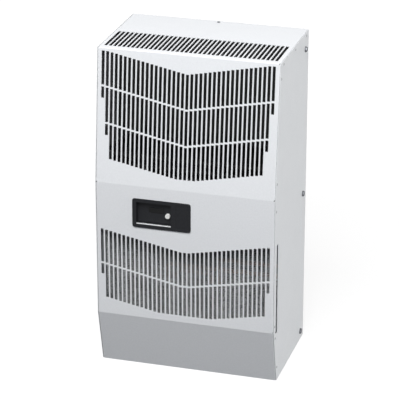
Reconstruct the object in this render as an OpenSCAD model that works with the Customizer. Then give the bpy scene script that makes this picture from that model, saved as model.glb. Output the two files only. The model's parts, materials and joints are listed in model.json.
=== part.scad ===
// Enclosure cooling unit: a folded steel cover over a refrigeration chassis.
// Z is up, the front faces -Y, and the origin is the middle of the base.

/* [Cabinet] */
// Width across the side panels
cab_w = 389; // [380:1:420]
// Height of the cabinet
cab_h = 711; // [705:1:740]
// Depth from the front panel to the rear edge
cab_d = 265; // [262:1:290]
// Cover sheet thickness
sheet_t = 1.5; // [1:0.1:2]
// Lean of the upper front, in degrees
lean = 5.77; // [4:0.01:6.5]
// How far the foot of the skirt sits behind the front panel
toe_set = 29; // [20:1:34]
// Height of the crease over the skirt
crease_lo = 124; // [118:1:126]
// Outer radius of the sheet bends
bend_r = 2.5; // [2:0.1:3.5]
// Depth of the return flanges behind the front sheet
flange_d = 16; // [13:1:16]
// Gap between the front sheet's edge and the side panel's edge
seam = 1; // [0.8:0.1:1.4]

/* [Grilles] */
// Distance from slot to slot
slot_pitch = 9.525; // [9:0.025:9.7]
// Width of one slot
slot_w = 6.35; // [5:0.05:6.8]
// Columns of slots on each side of the middle one
slot_side = 19; // [15:1:19]
// Rise of the V pattern for each unit of width
vee_slope = 0.197; // [0:0.01:0.2]
// Height of one band of slots in the upper panel
upper_band = 73.4; // [70:0.2:74]
// Height of one band of slots over the filter
lower_band = 76.2; // [72:0.2:77]
// Solid bridge between bands
bridge = 3.8; // [3:0.1:6]
// Foot of the upper pattern above its crease
upper_foot = 19.4; // [16:0.2:20]
// Foot of the lower pattern above its crease
lower_foot = 3; // [1:0.2:4]
// Length of the slots in the top
top_slot_len = 99; // [80:1:99]
// Solid margin in front of the top slots
top_slot_margin = 14; // [12:1:16]

/* [Filter] */
// Length of the filter
filter_len = 381; // [360:1:381]
// Height of the filter
filter_h = 200; // [190:1:202]
// Thickness of the filter
filter_t = 9.5; // [8:0.1:10]
// Distance from the front panel to the middle of the filter
filter_set = 23.5; // [23:0.1:24]
// Clearance round the filter in its rails
filter_gap = 0.3; // [0.2:0.05:0.5]

/* [Controller] */
// Distance from the top of the filter to the middle of the bezel
bezel_lift = 48; // [44:0.5:52]
// Distance from the middle of the bezel to the crease over it
crease_lift = 59.5; // [56:0.5:64]
// Width of the bezel
bezel_w = 127; // [118:1:130]
// Height of the bezel
bezel_h = 64; // [60:1:66]
// How far the bezel stands out of the panel
bezel_proud = 2; // [1:0.1:2]
// Adjuster knob diameter
knob_d = 10.2; // [9:0.2:14]

/* [Chassis] */
// Depth of the cabinet-air compartment behind the divider
cold_d = 123.5; // [123:0.5:125]
// Depth of the duct behind the compressor
duct_d = 81.5; // [80:0.5:83]
// Height of the shelf over the compressor
shelf_z = 196; // [194:1:198]
// Width of the condensate pan
pan_w = 344; // [300:2:350]
// Gasket thickness
gasket_t = 3; // [2:0.1:4]
// Mounting bolt spacing across
bolt_dx = 334; // [320:1:334]
// Distance from the end bolts to the ends of the cabinet
bolt_end = 35.5; // [30:0.5:40]
// Mounting bolt hole diameter
bolt_hole_d = 6; // [5:0.1:7]

/* [Air movers] */
// Outer size of an axial fan frame
fan_size = 119; // [117:1:120]
// Depth of an axial fan frame
fan_depth = 38; // [36:1:39]
// Diameter of the blower wheel
wheel_d = 190; // [180:1:196]
// Running clearance of shafts in their bores
shaft_gap = 0.05; // [0.02:0.01:0.09]

/* [Refrigeration] */
// Compressor shell diameter
comp_d = 116; // [110:1:118]
// Coil tube diameter
tube_d = 9.5; // [8:0.1:10]
// Coil tube spacing
tube_pitch = 24; // [22:0.5:24]
// Fin to fin spacing
fin_pitch = 6; // [5:0.5:8]
// Fin thickness
fin_t = 0.6; // [0.4:0.1:1]

/* [Hidden] */
$fn = 48;
// One overrun for every cut
cut = 1;
// Clearance between pieces that are only laid together
lay = 0.3;

// Main planes
y_back = (cab_d + bezel_proud) / 2;
y_front = y_back - cab_d;
y_toe = y_front + toe_set;
y_plate = y_back - gasket_t;
y_plate_in = y_plate - sheet_t;
y_div = y_back - cold_d;
y_duct = y_back - duct_d;
x_in = cab_w / 2 - sheet_t;
x_free = x_in - sheet_t;
mid_z = cab_h / 2;
filter_z = crease_lo - 7.5;
bezel_z = filter_z + filter_h + bezel_lift;
crease_hi = bezel_z + crease_lift;
y_top_edge = y_front + (cab_h - crease_hi) * tan(lean);
toe = atan2(toe_set, crease_lo);
upper_len = (cab_h - crease_hi) / cos(lean);
skirt_len = crease_lo / cos(toe);
lower_len = crease_hi - crease_lo;
wheel_r = wheel_d / 2;

// Unit vector along v
function unit(v) = v / norm(v);
// v turned a quarter to the left
function left(v) = [-v[1], v[0]];
// Points along an arc
function arc_pts(c, r, a0, a1, n) = [for (k = [0 : n]) let (a = a0 + (a1 - a0) * k / n)
  c + r * [cos(a), sin(a)]];
// Turn at point i of a path, positive to the left
function turn(p, i) = let (a = unit(p[i] - p[i - 1]), b = unit(p[i + 1] - p[i]))
  atan2(a[0] * b[1] - a[1] * b[0], a * b);
// One bend of a folded strip, on the path side or on the far side
function bend_pts(p, i, t, r, far) = let (
    w = turn(p, i),
    s = w > 0 ? 1 : -1,
    c = w > 0 ? r : r - t,
    d = unit(p[i] - p[i - 1]),
    o = p[i] - d * c * tan(abs(w) / 2) + s * left(d) * c,
    a0 = atan2(-s * left(d)[1], -s * left(d)[0]),
    rr = far ? (w > 0 ? r - t : r) : c
  ) arc_pts(o, rr, a0, a0 + w, 4);
// Closed outline of a folded sheet with its thickness on the left of the path
function strip(p, t, r) = let (
    n = len(p) - 1,
    near = [for (i = [1 : n - 1]) each bend_pts(p, i, t, r, false)],
    far = [for (i = [n - 1 : -1 : 1])
      let (b = bend_pts(p, i, t, r, true)) each [for (k = [len(b) - 1 : -1 : 0]) b[k]]],
    end = p[n] + t * left(unit(p[n] - p[n - 1])),
    start = p[0] + t * left(unit(p[1] - p[0]))
  ) concat([p[0]], near, [p[n], end], far, [start]);

// Extrudes a side view (y, z) across the width
module across(w) {
  rotate([90, 0, 90])
    linear_extrude(w, center = true)
      children();
}
// Extrudes a front view (x, z) back from the origin towards +Y
module backward(d) {
  translate([0, d, 0])
    rotate([90, 0, 0])
      linear_extrude(d)
        children();
}
// Frame of a panel: X across, Y up along the panel, Z out of it
module on_panel(y, z, a) {
  translate([0, y, z])
    rotate([a, 0, 0])
      children();
}
// A cylinder of radius r from point p along unit vector u
module rod(p, u, r, h) {
  e = abs(u[2]) > 0.5 ? [1, 0, 0] : [0, 0, 1];
  a = unit(cross(e, u));
  b = cross(u, a);
  multmatrix([[a[0], b[0], u[0], p[0]], [a[1], b[1], u[1], p[1]], [a[2], b[2], u[2], p[2]]])
    cylinder(r = r, h = h);
}
// A quarter bend of a round tube at corner p between unit directions a and b
module elbow(p, a, b, r, bend) {
  o = p - a * bend + b * bend;
  w = cross(-b, a);
  multmatrix([[-b[0], a[0], w[0], o[0]], [-b[1], a[1], w[1], o[1]], [-b[2], a[2], w[2], o[2]]])
    rotate_extrude(angle = 90)
      translate([bend, 0])
        circle(r = r, $fn = 24);
}
// A round tube along square turns
module pipe(p, r, bend) {
  n = len(p) - 1;
  for (i = [0 : n - 1]) {
    u = unit(p[i + 1] - p[i]);
    a = i == 0 ? 0 : bend;
    b = i == n - 1 ? 0 : bend;
    rod(p[i] + u * a, u, r, norm(p[i + 1] - p[i]) - a - b, $fn = 24);
  }
  for (i = [1 : n - 1])
    elbow(p[i], unit(p[i] - p[i - 1]), unit(p[i + 1] - p[i]), r, bend);
}
// A rectangle with round corners made of true arcs
module round_rect(w, h, r) {
  square([w - 2 * r, h], center = true);
  square([w, h - 2 * r], center = true);
  for (sx = [-1, 1])
    for (sz = [-1, 1])
      translate([sx * (w / 2 - r), sz * (h / 2 - r)])
        circle(r = r);
}

// Front cover: one sheet folded over the top, down the front and in at the skirt
cover_path = [[y_back, cab_h], [y_top_edge, cab_h], [y_front, crease_hi], [y_front, crease_lo], [y_toe, 0]];
notch = 3;
edge_bend = [x_in - bend_r, -bend_r];
edge_outline = concat(
  arc_pts(edge_bend, bend_r, 90, 0, 4),
  [[x_in, -flange_d], [x_free, -flange_d]],
  arc_pts(edge_bend, bend_r - sheet_t, 0, 90, 4));
short_slot = 24;
slot_cap_hi = upper_len - 7;
slot_cap_lo = 23.4;
low_cap_hi = filter_z + filter_h + 3 - crease_lo;
low_cap_lo = 14.4;
bezel_x = -49.7;
bezel_lip = 4;

module edge_flange(y0, y1) {
  for (s = [0, 1])
    mirror([s, 0, 0])
      translate([0, y1, 0])
        rotate([90, 0, 0])
          linear_extrude(y1 - y0)
            polygon(edge_outline);
}
// One slot through a panel, from y0 to y1 along it
module slot(column, y0, y1) {
  translate([column * slot_pitch - slot_w / 2, y0, -sheet_t - cut])
    cube([slot_w, y1 - y0, sheet_t + 2 * cut]);
}
// Rows of slots that follow a V, level over its first columns; the outermost columns lose their low ends
module vee_slots(rows, level, band, foot, lo, hi) {
  for (n = [-slot_side : slot_side])
    for (row = [0 : rows - 1]) {
      rise = max(abs(n), level) * slot_pitch * vee_slope;
      y0 = foot + row * (band + bridge) + rise;
      from_edge = slot_side - abs(n);
      clipped = rows == 3 ? from_edge + row : from_edge + row + 1;
      y_low = from_edge < 2 && clipped == 1 ? y0 + band - short_slot : max(y0, lo);
      y_high = min(y0 + band, hi);
      if (!(from_edge < 2 && clipped < 1) && y_high > y_low + slot_w)
        slot(n, y_low, y_high);
    }
}
rivet_r = 1.6;
rivet_head_r = 3;
rivet_head_t = 1;
rivet_set = 9;
rivet_play = 0.1;
upper_rivets = [33.5, upper_len - 34];
lower_rivets = [12, lower_len - 27];
skirt_rivets = [30, 107.7];
top_rivets = [23.5, 121, 217];

// Children stand at every rivet, with Z out through the side panel
module at_rivets() {
  for (s = [0, 1])
    mirror([s, 0, 0]) {
      on_panel(y_top_edge, cab_h, 0) rivet_row(top_rivets) children();
      on_panel(y_front, crease_hi, 90 - lean) rivet_row(upper_rivets) children();
      on_panel(y_front, crease_lo, 90) rivet_row(lower_rivets) children();
      on_panel(y_toe, 0, 90 + toe) rivet_row(skirt_rivets) children();
    }
}
module rivet_row(places) {
  for (y = places)
    translate([x_in, y, -rivet_set])
      rotate([0, 90, 0])
        children();
}
module front_cover() {
  color("gainsboro")
    difference() {
      union() {
        across(2 * (x_in - bend_r))
          polygon(strip(cover_path, sheet_t, bend_r));
        on_panel(y_top_edge, cab_h, 0) edge_flange(notch, y_back - y_top_edge);
        on_panel(y_front, crease_hi, 90 - lean) edge_flange(notch / 2, upper_len - notch);
        on_panel(y_front, crease_lo, 90) edge_flange(notch / 2, lower_len - notch / 2);
        on_panel(y_toe, 0, 90 + toe) edge_flange(0, skirt_len - notch / 2);
      }
      on_panel(y_front, crease_hi, 90 - lean)
        vee_slots(3, 0, upper_band, upper_foot, slot_cap_lo, slot_cap_hi);
      on_panel(y_front, crease_lo, 90)
        vee_slots(2, 1, lower_band, lower_foot, low_cap_lo, low_cap_hi);
      for (n = [-slot_side : slot_side])
        on_panel(y_top_edge, cab_h, 0) slot(n, top_slot_margin, top_slot_margin + top_slot_len);
      translate([bezel_x, y_front - cut, bezel_z])
        backward(sheet_t + 2 * cut)
          square([bezel_w - 2 * bezel_lip, bezel_h - 2 * bezel_lip], center = true);
      at_rivets() translate([0, 0, -sheet_t - cut]) cylinder(r = rivet_r + rivet_play, h = sheet_t + 2 * cut);
      translate([0, top_screw_y, cab_h - sheet_t - cut])
        cylinder(r = small_screw_r + lay, h = sheet_t + 2 * cut);
    }
}

// Side panels
screw_r = 3;
screw_flange_r = 6.5;
screw_flange_t = 1.2;
screw_hex_r = 5.6;
screw_head_h = 4;
screw_len = 11;
screw_set = 27.5;
screw_heights = [20, mid_z - 7, cab_h - 36];
small_screw_r = 2;
small_head_r = 3.6;
small_head_h = 1.6;
top_screw_y = y_back - 9.5;
slit_w = 12;
slit_h = filter_h + 3;
slit_notch_r = 3;

module side_outline() {
  polygon([[y_back, 0], [y_toe + seam, 0], [y_front + seam, crease_lo], [y_front + seam, crease_hi],
    [y_top_edge + seam, cab_h - seam], [y_back, cab_h - seam]]);
}
module side_panel() {
  difference() {
    translate([x_in + sheet_t / 2, 0, 0])
      across(sheet_t)
        side_outline();
    for (z = screw_heights)
      translate([x_in - cut, y_back - screw_set, z])
        rotate([0, 90, 0])
          cylinder(r = screw_r + lay, h = sheet_t + 2 * cut);
  }
}
module rivet_holes() {
  at_rivets() translate([0, 0, -cut]) cylinder(r = rivet_r + rivet_play, h = sheet_t + 2 * cut);
}
module left_side_panel() {
  color("lightgray")
    difference() {
      mirror([1, 0, 0]) side_panel();
      rivet_holes();
    }
}
module right_side_panel() {
  color("lightgray")
    difference() {
      side_panel();
      rivet_holes();
      translate([x_in - cut, y_front + filter_set - slit_w / 2, filter_z - (slit_h - filter_h) / 2])
        cube([sheet_t + 2 * cut, slit_w, slit_h]);
      translate([x_in - cut, y_front + filter_set - slit_w / 2, filter_z + slit_notch_r])
        rotate([0, 90, 0])
          cylinder(r = slit_notch_r, h = sheet_t + 2 * cut);
    }
}
module panel_rivets() {
  color("silver")
    at_rivets() {
      translate([0, 0, -sheet_t - rivet_head_t]) cylinder(r = rivet_head_r, h = rivet_head_t);
      translate([0, 0, -sheet_t - rivet_head_t]) cylinder(r = rivet_r, h = 2 * sheet_t + 2 * rivet_head_t);
      translate([0, 0, sheet_t]) cylinder(r = rivet_head_r, h = rivet_head_t);
    }
}
module flange_screw() {
  cylinder(r = screw_flange_r, h = screw_flange_t);
  cylinder(r = screw_hex_r, h = screw_head_h, $fn = 6);
  translate([0, 0, -screw_len]) cylinder(r = screw_r, h = screw_len + screw_flange_t);
}
module cover_screws() {
  color("dimgray") {
    for (s = [0, 1])
      mirror([s, 0, 0])
        for (z = screw_heights)
          translate([x_in + sheet_t, y_back - screw_set, z])
            rotate([0, 90, 0])
              flange_screw();
    translate([0, top_screw_y, cab_h]) {
      cylinder(r = small_head_r, h = small_head_h);
      translate([0, 0, -screw_len]) cylinder(r = small_screw_r, h = screw_len + small_head_h);
    }
  }
}

// Chassis: back with side walls, base pan, divider, liner, gasket and weld nuts
wall_top = cab_h - flange_d - lay;
plate_top = cab_h - 2 * sheet_t;
blow_z = cab_h - 126;
inlet_r = 75;
outlet_w = 270;
outlet_h = 120;
outlet_z = 62;
conduit_x = 158;
conduit_z = 100;
conduit_r = 12;
conduit_bore_r = 9.5;
drain_x = 12 - pan_w / 2;
drain_y = y_duct + 15;
drain_bore_r = 6;
nut_r = 6.5;
nut_h = 5;
pan_flange = 15;
line_x = 174;
line_z = 226;
line_hole_r = 9;
bulb_line_x = -20;

module at_bolts() {
  for (sx = [-1, 1])
    for (sz = [-1, 0, 1])
      translate([sx * bolt_dx / 2, y_plate, mid_z + sz * (mid_z - bolt_end)])
        rotate([90, 0, 0])
          children();
}
module chassis_back() {
  color("lightslategray")
    difference() {
      union() {
        linear_extrude(wall_top)
          polygon(strip([[x_in, y_div], [x_in, y_plate], [-x_in, y_plate], [-x_in, y_div]], sheet_t, bend_r));
        translate([-x_in + bend_r, y_plate_in, 0])
          cube([2 * (x_in - bend_r), sheet_t, plate_top]);
      }
      translate([0, y_plate_in - cut, blow_z])
        backward(sheet_t + 2 * cut)
          circle(r = inlet_r);
      translate([-outlet_w / 2, y_plate_in - cut, outlet_z])
        cube([outlet_w, sheet_t + 2 * cut, outlet_h]);
      translate([conduit_x, y_plate_in - cut, conduit_z])
        backward(sheet_t + 2 * cut)
          circle(r = conduit_r + lay);
      at_bolts() translate([0, 0, -cut]) cylinder(r = bolt_hole_d / 2, h = sheet_t + 2 * cut);
      for (s = [-1, 1])
        for (z = screw_heights)
          translate([s * x_free - cut - sheet_t, y_back - screw_set, z])
            rotate([0, 90, 0])
              cylinder(r = screw_r + lay, h = 2 * sheet_t + 2 * cut);
    }
}
module base_pan() {
  color("darkgray")
    difference() {
      translate([-x_free, y_toe + 2 * sheet_t, 0])
        cube([2 * x_free, y_plate_in + sheet_t - bend_r - y_toe - 2 * sheet_t, pan_flange]);
      translate([-x_free + sheet_t, y_toe + 3 * sheet_t, sheet_t])
        cube([2 * (x_free - sheet_t), y_div - y_toe - 3 * sheet_t - lay, pan_flange]);
      translate([-x_free - cut, y_div - lay, sheet_t])
        cube([2 * x_free + 2 * cut, cab_d, pan_flange]);
      translate([drain_x, drain_y, -cut])
        cylinder(r = drain_bore_r + drain_wall + lay, h = sheet_t + 2 * cut);
    }
}
module divider_panel() {
  color("slategray")
    difference() {
      across(2 * (x_in - bend_r))
        polygon(strip([[y_plate_in, cab_h - sheet_t], [y_div, cab_h - sheet_t], [y_div, shelf_z],
          [y_duct, shelf_z], [y_duct, sheet_t]], sheet_t, bend_r));
      translate([0, top_screw_y, cab_h - 2 * sheet_t - cut])
        cylinder(r = small_screw_r + lay, h = sheet_t + 2 * cut);
      translate([conduit_x, y_duct - cut, conduit_z])
        backward(sheet_t + 2 * cut)
          circle(r = conduit_r + lay);
      at_lines() circle(r = line_hole_r);
    }
}
// Outlines drawn here pass through the divider where the lines cross it
module at_lines() {
  for (p = [[line_x, line_z], [line_x, evap_in[1]], [bulb_line_x, bezel_z]])
    translate([p[0], y_div - cut, p[1]])
      backward(sheet_t + 2 * cut)
        children();
}
gasket_in = 4;
gasket_w = 14;
module mounting_gasket() {
  color("black")
    translate([0, y_plate, 0])
      backward(gasket_t)
        difference() {
          translate([-x_in + gasket_in, gasket_in])
            square([2 * (x_in - gasket_in), plate_top - 2 * gasket_in]);
          translate([-x_in + gasket_in + gasket_w, gasket_in + gasket_w])
            square([2 * (x_in - gasket_in - gasket_w), plate_top - 2 * (gasket_in + gasket_w)]);
        }
}
module weld_nuts() {
  color("silver")
    at_bolts()
      translate([0, 0, sheet_t])
        difference() {
          cylinder(r = nut_r, h = nut_h, $fn = 6);
          translate([0, 0, -cut]) cylinder(r = bolt_hole_d / 2, h = nut_h + 2 * cut);
        }
}
module cable_conduit() {
  color("black")
    translate([conduit_x, y_duct - lay, conduit_z])
      backward(y_plate - y_duct + lay)
        difference() {
          circle(r = conduit_r);
          circle(r = conduit_bore_r);
        }
}

// Filter and its rails
filter_y = y_front + filter_set;
filter_x1 = x_free;
filter_x0 = filter_x1 - filter_len;
filter_rim = 9;
net_bar = 1.6;
net_cols = 21;
net_rows = 15;
rail_t = 1.5;
rail_rib = 8;
rail_front = 5;

module filter_rail_outline() {
  y0 = y_front + rail_front;
  y1 = filter_y + filter_t / 2 + filter_gap;
  translate([y0, -rail_t]) square([y1 + rail_t - y0, rail_t]);
  translate([filter_y - filter_t / 2 - filter_gap - rail_t, -rail_t]) square([rail_t, rail_t + rail_rib]);
  translate([y1, -rail_t]) square([rail_t, rail_t + rail_rib]);
}
module lower_filter_rail() {
  color("darkgray")
    translate([0, 0, filter_z - filter_gap])
      across(2 * x_free)
        filter_rail_outline();
}
module upper_filter_rail() {
  color("darkgray")
    translate([0, 0, filter_z + filter_h + filter_gap])
      mirror([0, 0, 1])
        across(2 * x_free)
          filter_rail_outline();
}
module filter_frame() {
  color("silver")
    difference() {
      translate([filter_x0, filter_y - filter_t / 2, filter_z])
        cube([filter_len, filter_t, filter_h]);
      translate([filter_x0 + filter_rim, filter_y - filter_t / 2 - cut, filter_z + filter_rim])
        cube([filter_len - 2 * filter_rim, filter_t + 2 * cut, filter_h - 2 * filter_rim]);
    }
}
module filter_mesh() {
  w = filter_len - 2 * filter_rim - 2 * lay;
  h = filter_h - 2 * filter_rim - 2 * lay;
  color("lightgray")
    translate([filter_x0 + filter_rim + lay, filter_y, filter_z + filter_rim + lay]) {
      for (i = [0 : net_cols])
        translate([i * (w - net_bar) / net_cols, -net_bar, 0])
          cube([net_bar, 2 * net_bar, h]);
      for (i = [0 : net_rows])
        translate([0, -net_bar, i * (h - net_bar) / net_rows])
          cube([w, 2 * net_bar, net_bar]);
    }
}

// Controller
recess_w = 75.5;
recess_h = 49;
recess_x = -66.8;
recess_depth = 9;
bezel_floor = 2;
bezel_r = 5;
bar_h = 2;
bar_t = 4;
window_w = 33;
window_h = 11;
window_t = 0.8;
window_x = -62.6;
window_z = bezel_z + 7;
knob_x = -37.6;
knob_z = bezel_z - 2.5;
knob_t = 5;
knob_slot_w = 1.6;
knob_slot_d = 1.2;
knob_shaft_r = 2.5;
knob_shaft_len = 16;
blank_w = 28;
blank_h = 52;
blank_x = -4.5;
blank_d = 0.6;
body_w = 94;
body_h = 44;
body_d = 40;
body_x = -58;
y_recess = y_front - bezel_proud + recess_depth;
y_bezel_in = y_recess + bezel_floor;
y_body_in = y_bezel_in + body_d;

module control_bezel() {
  color("#2b2c30")
    difference() {
      union() {
        translate([bezel_x, y_front - bezel_proud, bezel_z])
          backward(bezel_proud)
            round_rect(bezel_w, bezel_h, bezel_r);
        translate([bezel_x, y_front, bezel_z])
          backward(y_bezel_in - y_front)
            square([bezel_w - 2 * (bezel_lip + lay), bezel_h - 2 * (bezel_lip + lay)], center = true);
      }
      translate([recess_x, y_front - bezel_proud - cut, bezel_z])
        backward(recess_depth + cut)
          square([recess_w, recess_h], center = true);
      translate([blank_x, y_front - bezel_proud - cut, bezel_z])
        backward(blank_d + cut)
          square([blank_w, blank_h], center = true);
      translate([knob_x, y_recess - cut, knob_z])
        backward(bezel_floor + 2 * cut)
          circle(r = knob_shaft_r + lay);
    }
}
module trim_bar() {
  color("silver")
    translate([recess_x, y_front - bezel_proud + blank_d, bezel_z - recess_h / 2 + bar_h / 2])
      backward(bar_t)
        square([recess_w, bar_h], center = true);
}
module display_window() {
  color("black")
    translate([window_x, y_recess - window_t, window_z])
      backward(window_t)
        square([window_w, window_h], center = true);
}
module thermostat_knob() {
  color("whitesmoke")
    difference() {
      union() {
        translate([knob_x, y_recess - lay - knob_t, knob_z]) backward(knob_t) circle(r = knob_d / 2);
        translate([knob_x, y_recess - lay - cut, knob_z]) backward(knob_shaft_len) circle(r = knob_shaft_r);
      }
      translate([knob_x - knob_slot_w / 2, y_recess - lay - knob_t - cut, knob_z - knob_d])
        cube([knob_slot_w, knob_slot_d + cut, 2 * knob_d]);
    }
}
module thermostat_body() {
  color("#3a3a3a")
    difference() {
      translate([body_x, y_bezel_in, bezel_z])
        backward(body_d)
          square([body_w, body_h], center = true);
      translate([knob_x, y_bezel_in - cut, knob_z])
        backward(knob_shaft_len)
          circle(r = knob_shaft_r + shaft_gap);
    }
}
bulb_r = 4.5;
bulb_len = 60;
bulb_z = blow_z - 145;
cap_r = 1.2;
cap_bend = 4;
module sensor_bulb() {
  y_bulb = y_div + sheet_t + bulb_r + lay;
  color("peru") {
    pipe([[bulb_line_x, y_body_in, bezel_z], [bulb_line_x, y_bulb, bezel_z], [bulb_line_x, y_bulb, bulb_z]],
      cap_r, cap_bend);
    translate([bulb_line_x, y_bulb, bulb_z]) cylinder(r = bulb_r, h = bulb_len);
  }
}

// Fan deck and the two axial fans under it
deck_z = crease_hi + 19;
deck_flange = 12;
fan_x = 75;
fan_y = (y_front + y_div) / 2;
fan_bore_r = 57;
fan_corner = 52.5;
fan_screw_r = 2;
fan_screw_head = 4;
fan_screw_len = 30;
hub_r = 28;
blade_r = 55;
strut_w = 5;
strut_t = 5;
boss_t = 6;
axle_r = 2;
fan_blades = 7;
blade_t = 1.6;
blade_pitch = 40;
z_fan = deck_z - fan_depth;
deck_hole_r = 6;

module at_fan_holes() {
  for (sx = [-1, 1])
    for (i = [-1, 1])
      for (j = [-1, 1])
        translate([sx * fan_x + i * fan_corner, fan_y + j * fan_corner, 0])
          children();
}
module fan_deck() {
  y0 = y_front + 2 * bend_r;
  color("darkgray")
    difference() {
      translate([-x_free, y0, deck_z - deck_flange + sheet_t])
        cube([2 * x_free, y_div - y0, deck_flange]);
      translate([-x_free - cut, y0 + sheet_t, deck_z - deck_flange])
        cube([2 * x_free + 2 * cut, y_div - y0 - 2 * sheet_t, deck_flange]);
      for (s = [-1, 1])
        translate([s * fan_x, fan_y, deck_z - cut]) cylinder(r = fan_bore_r, h = sheet_t + 2 * cut);
      at_fan_holes() translate([0, 0, deck_z - cut]) cylinder(r = fan_screw_r + lay, h = sheet_t + 2 * cut);
      for (p = [[line_x, cond_in[0]], [riser_x, riser_y]])
        translate([p[0], p[1], deck_z - cut]) cylinder(r = deck_hole_r, h = sheet_t + 2 * cut);
    }
}
module fan_frame() {
  difference() {
    translate([-fan_size / 2, -fan_size / 2, 0]) cube([fan_size, fan_size, fan_depth]);
    translate([0, 0, -cut]) cylinder(r = fan_bore_r, h = fan_depth + 2 * cut, $fn = 64);
    for (i = [-1, 1])
      for (j = [-1, 1])
        translate([i * fan_corner, j * fan_corner, -cut])
          cylinder(r = fan_screw_r + lay, h = fan_depth + 2 * cut);
  }
  difference() {
    union() {
      cylinder(r = hub_r, h = boss_t);
      for (a = [45, 135])
        rotate([0, 0, a])
          translate([-fan_bore_r - cut, -strut_w / 2, 0])
            cube([2 * (fan_bore_r + cut), strut_w, strut_t]);
    }
    translate([0, 0, -cut]) cylinder(r = axle_r + shaft_gap, h = boss_t + 2 * cut);
  }
}
module fan_rotor() {
  z0 = boss_t + 2 * lay;
  h = fan_depth - z0 - 2 * lay;
  translate([0, 0, z0]) cylinder(r = hub_r, h = h);
  translate([0, 0, lay]) cylinder(r = axle_r, h = z0);
  for (k = [0 : fan_blades - 1])
    rotate([0, 0, k * 360 / fan_blades])
      intersection() {
        difference() {
          translate([0, 0, z0 + blade_t]) cylinder(r = blade_r, h = h - 2 * blade_t);
          translate([0, 0, z0]) cylinder(r = hub_r - blade_t, h = h);
        }
        translate([hub_r - 2 * blade_t, 0, z0 + h / 2])
          rotate([blade_pitch, 0, 0])
            translate([0, -blade_t / 2, -h])
              cube([blade_r, blade_t, 2 * h]);
      }
}
module left_fan_frame() {
  color("#222222") translate([-fan_x, fan_y, z_fan]) fan_frame();
}
module right_fan_frame() {
  color("#222222") translate([fan_x, fan_y, z_fan]) fan_frame();
}
module left_fan_rotor() {
  color("#303030") translate([-fan_x, fan_y, z_fan]) fan_rotor();
}
module right_fan_rotor() {
  color("#303030") translate([fan_x, fan_y, z_fan]) fan_rotor();
}
module fan_screws() {
  color("silver")
    at_fan_holes()
      translate([0, 0, deck_z + sheet_t]) {
        cylinder(r = fan_screw_head, h = fan_screw_r);
        translate([0, 0, -fan_screw_len]) cylinder(r = fan_screw_r, h = fan_screw_len + fan_screw_r / 2);
      }
}

// Coils: fins on a serpentine tube, carried by end plates
tube_r = tube_d / 2;
row_pitch = 22;
coil_half = 166;
fin_half = 159;
fin_margin = 10;
bore_gap = 0.15;
coil_lift = 4;
cond_count = 5;
evap_tilt = 18;
evap_y = 68;
evap_room = 98;
evap_count = min(8, floor((blow_z - wheel_r - shelf_z - evap_room) / tube_pitch));
evap_z = shelf_z + 38 + evap_count * tube_pitch / 2;
cond_z = deck_z + sheet_t + coil_lift + row_pitch;
condenser_top = cond_z + row_pitch;

// Foam that lines the divider behind the grilles
liner_t = 5;
liner_lift = 8;
liner_z = condenser_top + liner_lift;
module plenum_liner() {
  color("black")
    translate([-x_free + lay, y_div - liner_t, liner_z])
      cube([2 * (x_free - lay), liner_t, plate_top - bend_r - liner_z]);
}

// Tube places, back row first, so both open ends lie side by side
function coil_rows(n) = concat(
  [for (i = [0 : n - 1]) [-row_pitch / 2, (i - (n - 1) / 2) * tube_pitch]],
  [for (i = [n - 1 : -1 : 0]) [row_pitch / 2, (i - (n - 1) / 2) * tube_pitch]]);
function tilted(p) = [evap_y + p[0] * cos(evap_tilt) + p[1] * sin(evap_tilt),
  evap_z - p[0] * sin(evap_tilt) + p[1] * cos(evap_tilt)];
// Line ends are rounded, so that straights and bends meet exactly
round_step = 0.01;
function rounded(p) = [for (v = p) round(v / round_step) * round_step];
cond_rows = coil_rows(cond_count);
evap_rows = coil_rows(evap_count);
evap_in = rounded(tilted(evap_rows[0]));
evap_out = rounded(tilted(evap_rows[2 * evap_count - 1]));
cond_in = [fan_y - cond_rows[0][1], cond_z - row_pitch / 2];
cond_out = [fan_y - cond_rows[0][1], cond_z + row_pitch / 2];

module serpentine(places) {
  n = len(places) - 1;
  for (p = places)
    rod([-coil_half, p[0], p[1]], [1, 0, 0], tube_r, 2 * coil_half, $fn = 24);
  for (i = [0 : n - 1]) {
    s = i % 2 == 0 ? -1 : 1;
    a = places[i];
    b = places[i + 1];
    u = unit(b - a);
    w = [0, -u[1] * s, u[0] * s];
    v = cross([0, u[0], u[1]], [s, 0, 0]);
    m = (a + b) / 2;
    multmatrix([[0, s, v[0], s * coil_half], [u[0], 0, v[1], m[0]], [u[1], 0, v[2], m[1]]])
      rotate_extrude(angle = 180)
        translate([norm(b - a) / 2, 0])
          circle(r = tube_r, $fn = 24);
  }
}
module fin_stack(places, n, t, pitch, half) {
  h = (n - 1) * tube_pitch + 2 * fin_margin;
  count = floor(2 * half / pitch);
  for (i = [0 : count])
    translate([(i - count / 2) * pitch, 0, 0])
      across(t)
        difference() {
          square([2 * row_pitch, h], center = true);
          tube_holes(places);
        }
}
module tube_sheet(n) {
  square([2 * row_pitch, (n - 1) * tube_pitch + 2 * fin_margin + 2 * sheet_t], center = true);
}
module tube_holes(places) {
  for (p = places)
    translate(p)
      circle(r = tube_r + bore_gap, $fn = 24);
}
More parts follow.
